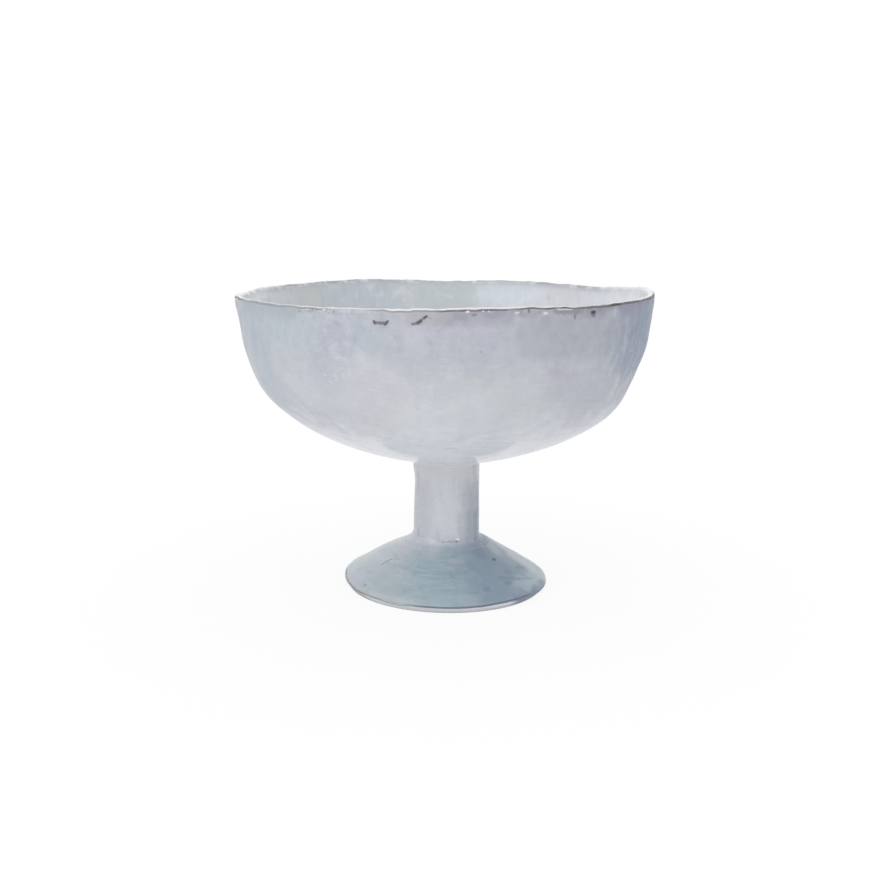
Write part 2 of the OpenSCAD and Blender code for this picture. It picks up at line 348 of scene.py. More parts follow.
glazed_stem = turned("glazed_stem", stem_outline, TUBE_FACETS, stem_shape, closed=True)

# %% [markdown]
# ## The slip joints
#
# Wet slip squeezes out where two parts are pressed together, and a finger smooths it into a small
# fillet. Under the bowl it is tight and even. Above the foot it is larger, smeared higher on the
# left, and ends in a soft edge that is a little different all the way round.

# %% The slip's outlines
foot_seat_r, foot_angle, SLIP = 27.3, 31, 18
upper_fillet, upper_feather, lower_fillet, lower_feather = 2.5, 0.12, 3.8, 0.14
# How far the fillet reaches into the stem, so that no gap shows behind its thin edge
tuck = 0.3


def slip_outline(seat_r, seat_slope, fillet_h, feather):
    top = Vector((stem_r + feather, slip_t + fillet_h))
    start = Vector((seat_r, 0))
    curve = [start, start + heading(seat_slope) * 0.55 * (seat_r - stem_r),
             top - Vector((0, 0.75 * top.y)), top]
    rounded = [cubic(curve, i / SLIP) for i in range(SLIP + 1)]
    return [Vector((bore_r, 0)), *rounded, Vector((stem_r - tuck, top.y)),
            Vector((stem_r - tuck, slip_t)), Vector((bore_r, slip_t))]


def upper_slip_shape(radius, height, degrees, run):
    turned_to = heading(degrees) * radius
    return Vector((turned_to.x + stem_shift, turned_to.y, bowl_z - height))


def lower_slip_shape(radius, height, degrees, run):
    above = max(0, height - slip_t) / lower_fillet
    smear = 1.8 * above * high_side(degrees) + 0.5 * above * (lump(20, 0, degrees, 14, 6) - 0.5)
    fuller = 1.1 * high_side(degrees) * max(0, math.sin(math.pi * min(1, above)))
    turned_to = heading(degrees) * (radius + (fuller if radius > stem_r else 0))
    return Vector((turned_to.x + stem_shift, turned_to.y, foot_h + height + smear))


upper_outline = slip_outline(stem_r + upper_fillet, 180 - seat_angle, upper_fillet, upper_feather)
lower_outline = slip_outline(foot_seat_r, 180 - foot_angle, lower_fillet, lower_feather)
upper_slip_fillet = turned("upper_slip_fillet", upper_outline, TUBE_FACETS, upper_slip_shape, closed=True)
lower_slip_fillet = turned("lower_slip_fillet", lower_outline, TUBE_FACETS, lower_slip_shape, closed=True)

# %% [markdown]
# ## The foot
#
# The foot is a flared dish, thrown upside down: a slightly hollow top, a rounded edge, a flat rest
# ring that was wiped clean of glaze, and a hollow underneath with the hole that vents the stem.

# %% The foot's outline
foot_r, edge_h, edge_round, hollow_h, rim_angle = 63.6, 4.4, 2.4, 21.0, 33
rest_outer_r, rest_middle_r, rest_inner_r = 60.1, 57.0, 54.1
# Steps of the three curves, and the step of the edge's curve from which the run is counted
TOP, EDGE, HOLLOW, CREST = 44, 14, 36, 6
foot_seat = Vector((foot_seat_r, foot_h))
edge = Vector((foot_r, edge_h))
top_end = edge + Vector((-1, 1.05)) * edge_round
top_w = top_end.x - foot_seat_r
foot_curve = [foot_seat, foot_seat + heading(-foot_angle) * 0.3 * top_w,
              top_end - heading(-rim_angle) * 0.36 * top_w, top_end]
edge_curve = [top_end, edge + Vector((-0.15, 0.5)) * edge_round, edge + Vector((0.05, -0.45)) * edge_round,
              edge + Vector((-0.55, -0.75)) * edge_round]
hollow_curve = [Vector((rest_inner_r, 0)), Vector((rest_inner_r * 0.93, hollow_h * 0.3)),
                Vector((rest_inner_r * 0.62, hollow_h)), Vector((bore_r - 1, hollow_h))]
foot_outline = [Vector((bore_r, foot_h)), Vector(((bore_r + foot_seat_r) / 2, foot_h))]
foot_outline += [cubic(foot_curve, i / TOP) for i in range(TOP + 1)]
crest_index = len(foot_outline) + CREST
foot_outline += [cubic(edge_curve, i / EDGE) for i in range(1, EDGE + 1)]
foot_outline += [Vector((rest_outer_r + 0.25, 0.12)), Vector((rest_outer_r, 0)),
                 Vector((rest_middle_r, 0)), Vector((rest_inner_r, 0))]
hollow = [cubic(hollow_curve, i / HOLLOW) for i in range(1, HOLLOW)]
foot_outline += [point for point in hollow if point.x > bore_r + 0.8]
foot_outline += [Vector((bore_r + 0.3, hollow_h - 0.01)), Vector((bore_r, hollow_h + 0.3))]
print("the foot's edge in millimetres:", [round(v, 2) for v in foot_outline[crest_index]])


# %% The foot's unevenness
def foot_shape(radius, height, degrees, run):
    out = max(0, radius - foot_seat_r) / (foot_r - foot_seat_r)
    filled = smooth(out / 0.34) * (1 - smooth((out - 0.34) / 0.51))
    fill = 2 * high_side(degrees) * filled
    oval = 1.9 * out * math.cos(math.radians(2 * (degrees - 150)))
    rise = 0.9 * out * math.cos(math.radians(degrees - 180)) * smooth(height / edge_h)
    fingers = smooth(out / 0.3) * smooth(height / 3)
    dent = fingers * (0.2 * (lump(radius, height, degrees, 20, 7) - 0.6)
                      + 0.08 * (lump(radius, 0, degrees, 6, 8) - 0.6))
    turned_to = heading(degrees) * (radius + oval + fill + dent)
    return Vector((turned_to.x + stem_shift * max(0, 1 - out), turned_to.y, height + rise + 0.6 * dent))


glazed_foot = turned("glazed_foot", foot_outline, FOOT_FACETS, foot_shape, crest=crest_index, closed=True)

# %% [markdown]
# ## Maths that reads as maths
#
# A material is a tree of nodes. Its maths could be wired node by node, but then `a * 2 + b` is
# six lines. This class wraps an output socket, and its operators add the Math nodes, so that the
# glaze's formulas can be read. One method adds every other kind of node.


# %% Sockets in sums, and a recipe for a tree
class Term:
    """An output socket in a sum: each plus, minus or times on it adds a Math node."""

    def __init__(self, recipe, socket):
        self.recipe, self.socket = recipe, socket

    def maths(self, operation, first, second):
        return self.recipe.node("ShaderNodeMath", {"operation": operation}, {0: first, 1: second})

    def __add__(self, other):
        return self.maths("ADD", self, other)

    def __radd__(self, other):
        return self.maths("ADD", other, self)

    def __sub__(self, other):
        return self.maths("SUBTRACT", self, other)

    def __rsub__(self, other):
        return self.maths("SUBTRACT", other, self)

    def __mul__(self, other):
        return self.maths("MULTIPLY", self, other)

    def __rmul__(self, other):
        return self.maths("MULTIPLY", other, self)


class Recipe:
    """A tree of nodes, with one method that adds any node and gives one of its outputs."""

    def __init__(self, tree):
        self.tree = tree
        tree.nodes.clear()

    def node(self, kind, settings=None, inputs=None, output=0):
        made = self.tree.nodes.new(kind)
        for name, value in (settings or {}).items():
            setattr(made, name, value)
        for name, value in (inputs or {}).items():
            if isinstance(value, Term):
                self.tree.links.new(value.socket, made.inputs[name])
            else:
                made.inputs[name].default_value = value
        return Term(self, made.outputs[output]) if made.outputs else made


print("operators that work from either side:", [name for name in vars(Term) if name.startswith("__r")])


# %% Fades, blends, grain and marks
def fade(value, start, end):
    """0 at start and 1 at end, smoothly, with start above end to fade the other way."""
    return value.recipe.node("ShaderNodeMapRange", {"interpolation_type": "SMOOTHSTEP"},
                             {"Value": value, "From Min": start, "From Max": end})


def band(value, low, high, soft):
    """1 between low and high, fading to 0 over the soft distance outside them."""
    return fade(value, low - soft, low) * fade(value, high + soft, high)


def clamped(value):
    return value.recipe.node("ShaderNodeClamp", None, {"Value": value})


def blend(under, over, amount):
    """The colour under, covered by the colour over by the amount."""
    # A Mix node keeps its two colours in the sockets 6 and 7, and gives their mix in output 2
    under, over = ((*c, 1) if isinstance(c, tuple) else c for c in (under, over))
    return amount.recipe.node("ShaderNodeMix", {"data_type": "RGBA"},
                              {0: amount, 6: under, 7: over}, output=2)


def grain(place, size, seed, detail=3, rough=0.55, stretch=1):
    """Noise from 0 to 1, mostly near 0.5, in grains of size millimetres, stretched upwards."""
    moved = place.recipe.node("ShaderNodeMapping", None, {
        "Vector": place, "Location": (seed * 3.1, seed * 7.7, seed * 1.3),
        "Scale": (1 / size, 1 / size, 1 / (size * stretch))})
    return place.recipe.node("ShaderNodeTexNoise", None, {
        "Vector": moved, "Scale": 1, "Detail": detail, "Roughness": rough})


def torn(place, size, amount):
    """The place, pushed about by noise, so that a mark made there has a torn edge."""
    recipe = place.recipe
    push = recipe.node("ShaderNodeTexNoise", None, {"Vector": place, "Scale": 1 / size, "Detail": 3},
                       output="Color")
    push = recipe.node("ShaderNodeVectorMath", {"operation": "SUBTRACT"}, {0: push, 1: (0.5, 0.5, 0.5)})
    return recipe.node("ShaderNodeVectorMath", {"operation": "MULTIPLY_ADD"},
                       {0: push, 1: (amount, amount, amount), 2: place})


def near_line(place, start, end, width, soft):
    """1 on the short line from start to end, in millimetres, and 0 beyond its width."""
    recipe = place.recipe
    along = Vector(end) - Vector(start)
    off = recipe.node("ShaderNodeVectorMath", {"operation": "SUBTRACT"}, {0: place, 1: start})
    share = clamped(recipe.node("ShaderNodeVectorMath", {"operation": "DOT_PRODUCT"},
                                {0: off, 1: along / along.length_squared}, output="Value"))
    foot = recipe.node("ShaderNodeVectorMath", {"operation": "SCALE"}, {0: tuple(along), "Scale": share})
    away = recipe.node("ShaderNodeVectorMath", {"operation": "DISTANCE"}, {0: off, 1: foot}, output="Value")
    return fade(away, width + soft, width)


def marked(place, marks, soft):
    """1 on any of the marks, each of them a start, an end and a width."""
    total = 0
    for start, end, width in marks:
        total = near_line(place, start, end, width, soft) + total
    return clamped(total)


# %% [markdown]
# ## The glaze
#
# The glaze is milky and glossy over dark clay. Where it pooled it is pale grey, where it is thin
# the clay tints it blue, lavender or green, and where it broke at an edge or crawled back before
# the firing the clay shows brown. A picture could hold all that, but only from one side. Here it
# is built from noise in the object's own millimetres, so it goes all the way round, and one recipe
# serves every piece, which lets the colour run on over the joints as the real glaze does.

# %% Colours of the glaze
MILK = (0.61, 0.625, 0.66)
WHITE = (0.76, 0.77, 0.785)
LAVENDER = (0.52, 0.52, 0.60)
GREENISH = (0.585, 0.61, 0.605)
BLUE_VEIL = (0.46, 0.52, 0.585)
TEAL = (0.355, 0.44, 0.485)
PALE_TEAL = (0.40, 0.49, 0.525)
SLATE = (0.235, 0.295, 0.375)
CREAM = (0.80, 0.79, 0.76)
CLAY = (0.10, 0.085, 0.075)


# %% The shared glaze
class Glaze:
    """A glaze in the making, which starts with the noise and the colours that all pieces share."""

    def __init__(self, name):
        self.material = bpy.data.materials.new(name)
        self.material.use_nodes = True
        self.recipe = recipe = Recipe(self.material.node_tree)
        metres = recipe.node("ShaderNodeTexCoord", output="Object")
        self.place = place = recipe.node("ShaderNodeVectorMath", {"operation": "SCALE"},
                                         {0: metres, "Scale": 1000})
        split = recipe.node("ShaderNodeSeparateXYZ", None, {0: place})
        self.x, self.y, self.z = (Term(recipe, socket) for socket in split.socket.node.outputs)
        self.run = recipe.node("ShaderNodeAttribute", {"attribute_name": "run"}, output="Fac")
        self.streak = grain(place, 5.5, 3, stretch=4.5)
        self.mottle = grain(place, 7, 4, detail=4, rough=0.6)
        self.curdle = grain(place, 1.7, 5, detail=2)
        cloud, drift = grain(place, 46, 1, detail=2), grain(place, 30, 2)
        dapple = grain(place, 15, 6, detail=5, rough=0.62)
        # Thick and milky
        self.colour = blend(MILK, LAVENDER, fade(cloud, 0.44, 0.62) * 0.55)
        self.cover(GREENISH, fade(drift, 0.50, 0.68) * 0.3)
        self.cover(BLUE_VEIL, fade(self.streak, 0.5, 0.74) * 0.34)
        self.cover(GREENISH, fade(dapple, 0.52, 0.60) * 0.3)
        self.cover(LAVENDER, fade(dapple, 0.47, 0.38) * 0.45)
        self.cover(LAVENDER, fade(self.mottle, 0.56, 0.70) * 0.45)
        self.cover(WHITE, fade(self.mottle, 0.44, 0.30) * 0.3)
        # Thin and blue, from the foot's pale left side over teal to slate, and pale again at the right
        wobbly = self.x + 44 * (self.mottle - 0.5) + 30 * (drift - 0.5)
        thin = blend(TEAL, SLATE, band(wobbly, 22, 40, 26) * 0.7)
        thin = blend(thin, PALE_TEAL, fade(wobbly, 46, 62) * 0.8)
        thin = blend(thin, (0.485, 0.525, 0.555), fade(wobbly, -4, -36) * 0.85)
        thin = blend(thin, SLATE, fade(self.mottle, 0.56, 0.72) * 0.35)
        low = self.z - 0.16 * self.x + 14 * (self.mottle - 0.5) + 8 * (cloud - 0.5)
        self.cover(thin, fade(low, 35, 24))
        self.cover(WHITE, fade(self.curdle, 0.62, 0.8) * 0.22)
        self.cover(SLATE, fade(self.curdle, 0.38, 0.22) * 0.2)

    def cover(self, colour, amount):
        self.colour = blend(self.colour, colour, amount)

    def wash(self, place, strokes, where=1):
        """Strokes of colour: each has a start, an end, a width, a softness, a colour and an amount."""
        for start, end, width, soft, colour, amount in strokes:
            self.cover(colour, near_line(place, start, end, width, soft) * (where * amount))

    def fire(self, relief, bare, dull):
        """Relief is in millimetres, bare is 1 where there is no glaze, and dull is the plain roughness."""
        waves = grain(self.place, 13, 8, detail=2)
        pits = fade(grain(self.place, 0.9, 9, detail=1), 0.72, 0.84)
        height = 0.10 * waves + 0.02 * self.mottle + 0.006 * self.curdle
        height = height - 0.02 * pits - 0.08 * bare + relief
        normal = self.recipe.node("ShaderNodeBump", None,
                                  {"Strength": 1.0, "Distance": MM, "Height": height})
        rough = dull + 0.08 * fade(self.mottle, 0.4, 0.7) + 0.04 * self.curdle + 0.4 * bare
        glossy = self.recipe.node("ShaderNodeBsdfPrincipled", None, {
            "Base Color": self.colour, "Roughness": rough, "Normal": normal,
            "IOR": 1.5, "Specular IOR Level": 0.34})
        self.recipe.node("ShaderNodeOutputMaterial", None, {"Surface": glossy})
        print(f"{self.material.name}: {len(self.recipe.tree.nodes)} nodes")
        return self.material


# %% [markdown]
# ## The bowl's glaze
#
# Around the lip the crest is pale, partly glaze and partly a painted highlight that is whitest in
# front, and the glaze breaks to a thin brown line just below it on the outside. Two crawls near the
# front, where the glaze drew back, and a few spots, nicks and pale blobs are the marks by which this
# bowl is known; the first two blobs and a white stretch under the lip are painted glints. Each is a
# short line between two points on the surface. The large soft patches are laid on in the same way,
# with wide soft edges.

# %% Marks on the bowl
# Each mark: start, end and width in millimetres
crawls = [
    ((-35.3, -119.6, 175.9), (-32.5, -120.4, 175.7), 0.5),
    ((-32.5, -120.4, 175.7), (-29.4, -121.2, 175.9), 0.5),
    ((-35.8, -119.5, 176.7), (-35.4, -119.6, 175.4), 0.3),
    ((-29.9, -121.0, 175.2), (-28.7, -121.4, 176.8), 0.35),
    ((-16.2, -123.5, 175.5), (-13.6, -124.0, 176.0), 0.4),
    ((-13.6, -124.0, 176.2), (-12.0, -124.3, 177.2), 0.7),
    ((-11.9, -124.3, 177.4), (-10.4, -124.6, 178.7), 0.25),
    ((-10.3, -124.6, 178.7), (-9.1, -124.8, 179.4), 0.4),
]
crawl_ends = [
    ((-35.7, -119.5, 176.4), (-35.3, -119.6, 175.5), 0.25),
    ((-28.9, -121.4, 176.5), (-29.4, -121.2, 175.8), 0.2),
    ((-30.6, -120.8, 175.2), (-30.1, -121.0, 175.1), 0.25),
    ((-13.4, -124.0, 176.3), (-12.2, -124.3, 177.1), 0.4),
    ((-10.2, -124.6, 178.8), (-9.3, -124.8, 179.3), 0.25),
]
beads = [
    ((-75.9, -99.5, 180.0), (-75.8, -99.6, 179.8), 0.3),
    ((-68.4, -104.7, 181.1), (-67.9, -105.0, 181.1), 0.25),
    ((-66.3, -106.1, 181.2), (-65.7, -106.5, 181.3), 0.25),
    ((-64.3, -107.2, 181.5), (-63.7, -107.5, 181.6), 0.25),
]
# The first two of these pale blobs are painted glints
glints_and_blobs = [
    ((35.4, -119.9, 180.6), (37.2, -119.4, 181.0), 0.15),
    ((50.3, -114.3, 180.1), (51.3, -113.8, 180.1), 0.2),
    ((10.9, -124.5, 181.8), (11.8, -124.5, 181.8), 0.3),
    ((18.9, -123.6, 181.9), (19.1, -123.6, 181.9), 0.15),
    ((21.8, -123.2, 181.8), (22.0, -123.1, 181.8), 0.15),
    ((-71.5, -102.7, 181.3), (-71.1, -102.9, 181.3), 0.15),
    ((-62.6, -108.1, 181.6), (-61.6, -108.6, 181.5), 0.2),
]

# %% Smudges, painted glints and shade, and patches on the bowl
# Each smudge and patch: start, end, width, softness, colour, amount
smudges_and_painted_light = [
    ((77.0, -98.0, 178.6), (78.0, -97.2, 178.0), 0.7, 1.7, (0.20, 0.205, 0.26), 0.6),
    ((76.7, -98.3, 179.2), (78.1, -97.1, 179.4), 0.35, 0.9, (0.03, 0.035, 0.06), 0.9),
    ((77.5, -97.5, 178.8), (77.7, -97.4, 177.6), 0.25, 0.9, (0.07, 0.08, 0.11), 0.6),
    ((67.0, -105.0, 178.2), (67.0, -104.9, 176.7), 0.15, 0.6, (0.11, 0.10, 0.14), 0.7),
    ((42.4, -117.6, 182.0), (42.4, -117.6, 181.1), 0.15, 0.8, (0.10, 0.08, 0.11), 0.7),
    ((13.8, -124.2, 180.0), (15.2, -124.1, 180.2), 0.1, 1.1, (0.20, 0.19, 0.25), 0.65),
    ((18.1, -121.2, 161.3), (18.2, -121.2, 161.1), 0.1, 0.5, (0.12, 0.11, 0.15), 0.55),
    ((-7.9, -124.8, 178.9), (-6.9, -124.8, 178.5), 0.05, 0.6, (0.24, 0.21, 0.20), 0.5),
    # These two are painted glints: a white stretch under the lip and a soft halo round a glint
    ((57.4, -110.8, 181.7), (66.0, -105.8, 181.5), 0.15, 0.5, (0.72, 0.72, 0.73), 0.8),
    ((50.0, -114.4, 180.2), (52.0, -113.5, 180.1), 0.2, 1.2, (0.66, 0.68, 0.74), 0.6),
    # These three grey strokes are painted shade between the lumps of the lip's left end
    ((-121.9, 2, 181.8), (-121.2, 7, 180.8), 0.35, 1.2, (0.38, 0.38, 0.39), 0.6),
    ((-120.7, 13, 182.0), (-119.8, 18, 181.2), 0.35, 1.2, (0.42, 0.42, 0.43), 0.5),
    ((-118.9, 25, 182.3), (-118.0, 31, 181.8), 0.4, 1.4, (0.42, 0.42, 0.43), 0.5),
    ((120.2, 17, 181.0), (117.6, 29, 179.2), 1.6, 2.4, (0.92, 0.92, 0.94), 0.8),
]
smears = [
    ((5.0, -124.7, 179.6), (10.0, -124.5, 179.0), 0.3, 2.6, (0.30, 0.29, 0.36), 0.6),
    ((21.0, -123.2, 180.0), (29.0, -121.9, 179.8), 0.3, 2.4, (0.31, 0.30, 0.36), 0.55),
    ((38.0, -119.1, 179.8), (46.0, -116.2, 179.4), 0.2, 2.2, (0.34, 0.31, 0.36), 0.4),
    ((57.0, -110.9, 180.3), (69.0, -103.8, 179.9), 0.3, 2.2, (0.24, 0.22, 0.28), 0.6),
    ((96.0, -79.5, 179.0), (112.0, -53.5, 179.0), 0.8, 4.5, (0.31, 0.295, 0.40), 0.65),
    ((106.8, -61.6, 167.9), (101.6, -68.6, 163.7), 1.0, 3.5, (0.25, 0.26, 0.37), 0.4),
    ((-4.0, -124.9, 178.0), (2.0, -124.9, 177.0), 0.3, 3.0, (0.40, 0.37, 0.39), 0.4),
    ((69.0, -103.8, 180.0), (86.0, -90.2, 180.2), 1.0, 4.5, (0.27, 0.28, 0.325), 0.45),
    ((4.0, -124.7, 178.6), (31.0, -121.0, 178.5), 1.5, 5.0, (0.37, 0.365, 0.43), 0.5),
    ((-17.0, -123.8, 178.4), (-4.0, -124.8, 178.6), 1.0, 4.5, (0.43, 0.415, 0.42), 0.5),
    ((-42.0, -117.6, 179.0), (-28.0, -121.6, 179.0), 0.8, 4.0, (0.46, 0.46, 0.49), 0.3),
    ((-112.0, -56.0, 180.0), (-80.0, -96.0, 180.0), 1.6, 6.0, (0.41, 0.45, 0.495), 0.7),
]
patches = [
    ((100, -52, 131), (103, -50, 129), 3, 8, (0.46, 0.48, 0.53), 0.4),
    ((-20, -117, 147), (-18, -117, 145), 4, 8, (0.63, 0.635, 0.68), 0.35),
    ((22, -116, 147), (24, -116, 146), 4, 8, (0.62, 0.635, 0.66), 0.35),
    ((-90, -78, 157), (-84, -84, 153), 3, 8, (0.47, 0.52, 0.57), 0.35),
    ((-14, -106, 120), (11, -110, 125), 8, 12, (0.80, 0.815, 0.86), 0.35),
    ((40, -98, 119), (52, -93, 119), 5, 10, (0.78, 0.79, 0.83), 0.3),
    ((36, -116, 160), (44, -113, 158), 4, 9, (0.62, 0.63, 0.68), 0.4),
    ((-40, -116, 160), (-36, -117, 158), 4, 9, (0.64, 0.66, 0.69), 0.4),
    ((-38, -110, 141), (-36, -108, 130), 12, 14, (0.66, 0.665, 0.69), 0.45),
    ((8, -112, 136), (42, -106, 132), 10, 14, (0.63, 0.645, 0.665), 0.4),
    ((-44, -117, 168), (-36, -118, 163), 3, 6, (0.42, 0.49, 0.55), 0.4),
    ((-108, -58, 170), (-102, -62, 138), 8, 24, (0.43, 0.49, 0.55), 0.45),
    ((-93, -82, 168), (-76, -98, 167), 6, 14, (0.50, 0.575, 0.61), 0.45),
    ((-84, -82, 146), (-66, -92, 132), 9, 14, (0.575, 0.60, 0.625), 0.4),
    ((46, -113, 169), (84, -88, 166), 8, 10, (0.40, 0.405, 0.455), 0.5),
    ((62, -100, 141), (84, -80, 136), 6, 12, (0.48, 0.485, 0.56), 0.4),
    ((52, -108, 149), (60, -103, 148), 0.6, 3, (0.48, 0.41, 0.50), 0.35),
    ((64, -100, 146), (70, -96, 146), 0.6, 3, (0.52, 0.47, 0.56), 0.35),
    ((14, -120, 158), (22, -116, 144), 1, 4, (0.50, 0.50, 0.56), 0.35),
    ((-27, -118, 160), (-10, -121, 154), 4, 9, (0.53, 0.54, 0.59), 0.4),
    ((-16, -123, 170), (-16, -122, 164), 3, 6, (0.60, 0.605, 0.66), 0.4),
    ((8, -123, 166), (36, -118, 163), 8, 13, (0.51, 0.51, 0.585), 0.35),
]
inner_patches = [
    ((16, 119, 173), (20, 118, 173), 3, 7, (0.70, 0.745, 0.75), 0.4),
    ((-111, 47, 178), (-104, 60, 177), 3, 8, (0.74, 0.755, 0.77), 0.5),
    ((-97, 71, 176), (-92, 76, 173), 4, 12, (0.63, 0.65, 0.625), 0.5),
    ((-74, 96, 177), (-48, 108, 172), 8, 14, (0.58, 0.63, 0.69), 0.55),
    ((-12, 120, 173), (14, 120, 173), 8, 14, (0.63, 0.68, 0.67), 0.5),
    ((32, 115, 176), (58, 105, 175), 5, 11, (0.77, 0.81, 0.89), 0.6),
    ((76, 93, 177), (88, 84, 178), 4, 10, (0.74, 0.73, 0.74), 0.5),
]
print(len(crawls + crawl_ends), "strokes of crawling,", len(smudges_and_painted_light + smears), "smudges,", len(glints_and_blobs),
      "pale blobs and", len(patches + inner_patches), "patches")


# %% [markdown]
# ## From the wall to the lip
#
# On the real bowl all of this is one coat of glaze that ran, pooled and broke. One long formula
# could hold it, but then a change to the lip could upset the wall. Here each stretch of the
# surface has its own function: the wall, the inside, the lip and the small marks, in the order
# in which they lie over each other. Each covers the colour so far with one more, by an amount
# from 0 to 1 that follows from the place on the bowl.


# %% The wall
def glaze_the_wall(glaze, outside, clotted):
    place, x, y, z = glaze.place, glaze.x, glaze.y, glaze.z
    brushed = grain(place, 12, 16, detail=4, rough=0.65, stretch=0.12)
    walls = fade(x * x, 4900, 14400)
    # Thinner, bluer glaze high on the outside of the wall, and a painted floor light under the belly
    upper = outside * fade(z + 26 * (glaze.mottle - 0.5), 134, 170)
    glaze.cover((0.46, 0.475, 0.55), upper * 0.6)
    glaze.cover((0.63, 0.64, 0.69), upper * fade(clotted, 0.47, 0.38) * 0.4)
    glaze.cover((0.37, 0.38, 0.45), upper * fade(clotted, 0.53, 0.64) * 0.4)
    # The right end of the wall is painted dark: painted shade on the side away from the lamp
    shaded_right_end = outside * fade(x + 28 * (glaze.streak - 0.5), 76, 118)
    glaze.cover((0.215, 0.265, 0.355), shaded_right_end * fade(z + 20 * (glaze.mottle - 0.5), 114, 151) * 0.93)
    veiled = outside * walls * fade(z + 24 * (glaze.mottle - 0.5), 126, 152)
    glaze.cover((0.37, 0.42, 0.50), veiled * fade(glaze.streak, 0.44, 0.66) * 0.5)
    glaze.cover((0.58, 0.60, 0.65), veiled * fade(glaze.streak, 0.46, 0.28) * 0.3)
    # Both outer ends of the wall are painted darker: painted shade at the wall's edges
    glaze.cover((0.34, 0.40, 0.45), outside * fade(x * x, 12000, 15200) * fade(clotted, 0.40, 0.60) * 0.6)
    # The lower belly is painted paler: painted light bounced up from the floor
    glaze.cover((0.85, 0.86, 0.9), outside * fade(z + 20 * (glaze.mottle - 0.5), 128, 98) * 0.87)
    # Under the belly in front, two pale crescents beside the stem are a painted reflection of the floor
    beside = glaze.recipe.node("ShaderNodeMath", {"operation": "ABSOLUTE"}, {0: x - 1}) + 0.62 * y + 16.5
    floor_reflection = outside * fade(beside, 0, 2.4) * fade(beside, 24, 2) * fade(z, 112, 103) * fade(y, -20, -50)
    glaze.cover((0.95, 0.955, 0.975), floor_reflection * 0.58)
    # Brushed across the belly, with pale flecks on its left
    belly = outside * band(z, 100, 156, 14)
    glaze.cover((0.50, 0.51, 0.57), belly * fade(brushed, 0.57, 0.68) * 0.5)
    glaze.cover((0.72, 0.735, 0.755), belly * fade(brushed, 0.43, 0.32) * 0.4)
    pale_flecks = fade(grain(place, 2.4, 27, detail=1), 0.64, 0.72) * band(z, 122, 146, 8) * fade(x, 0, -30)
    glaze.cover(WHITE, outside * pale_flecks * 0.5)


# %% The inside, and the soft patches on both sides
def glaze_the_inside(glaze, outside, inside, wander):
    """Greener on the left and whiter on the right, with upright runs."""
    place, x = glaze.place, glaze.x
    glaze.cover((0.68, 0.715, 0.725), inside * fade(x, 60, -40) * 0.8)
    # Whiter on the right: white runs of glaze, and partly painted light where the lamp falls on that inner
    # wall
    runny = x + 70 * (glaze.streak - 0.5) + 90 * (wander - 0.5)
    glaze.cover((0.81, 0.82, 0.85), inside * fade(runny, 12, 64) * 0.85)
    glaze.cover(GREENISH, inside * fade(wander, 0.56, 0.66) * 0.35)
    ragged = torn(place, 9, 16)
    glaze.wash(ragged, patches, outside)
    glaze.wash(ragged, inner_patches, inside)
    glaze.cover((0.52, 0.56, 0.585), inside * fade(glaze.streak, 0.52, 0.68) * 0.35)
    milky = fade(grain(place, 10, 34, detail=4, rough=0.6), 0.54, 0.68)
    glaze.cover((0.84, 0.85, 0.87), inside * milky * 0.4)


